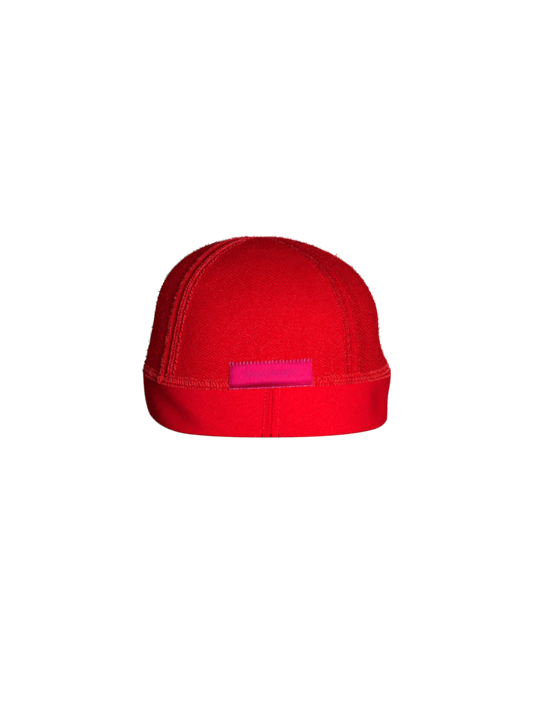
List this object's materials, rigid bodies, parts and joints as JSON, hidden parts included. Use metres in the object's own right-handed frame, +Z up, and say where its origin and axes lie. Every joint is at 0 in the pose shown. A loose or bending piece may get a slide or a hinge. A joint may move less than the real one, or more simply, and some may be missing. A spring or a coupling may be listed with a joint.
{
  "type": "knitted beanie",
  "caption": "Close-fitting knitted skull cap: a panelled dome crown with doubled stitched seams on a folded hem band, plain satin label at the back.",
  "frame": {"origin": "centre of the head hole, on the plane that the rim stands on", "axes": "+Z up through the crown, -Y out of the back of the hat, where the label and the band's seam are, +Y out of the front, +X to the right as seen from behind"},
  "size_m": [0.163, 0.1995, 0.1195],
  "materials": {
    "band_knit": "milled fine knit, matt, folded double",
    "crown_knit": "milled fine knit, matt",
    "label_satin": "woven satin, soft shine"
  },
  "bodies": {
    "root": {"band": "band_knit", "crown_back": "crown_knit", "crown_right": "crown_knit", "crown_front": "crown_knit", "crown_left": "crown_knit", "back_label": "label_satin"}
  },
  "joints": []
}
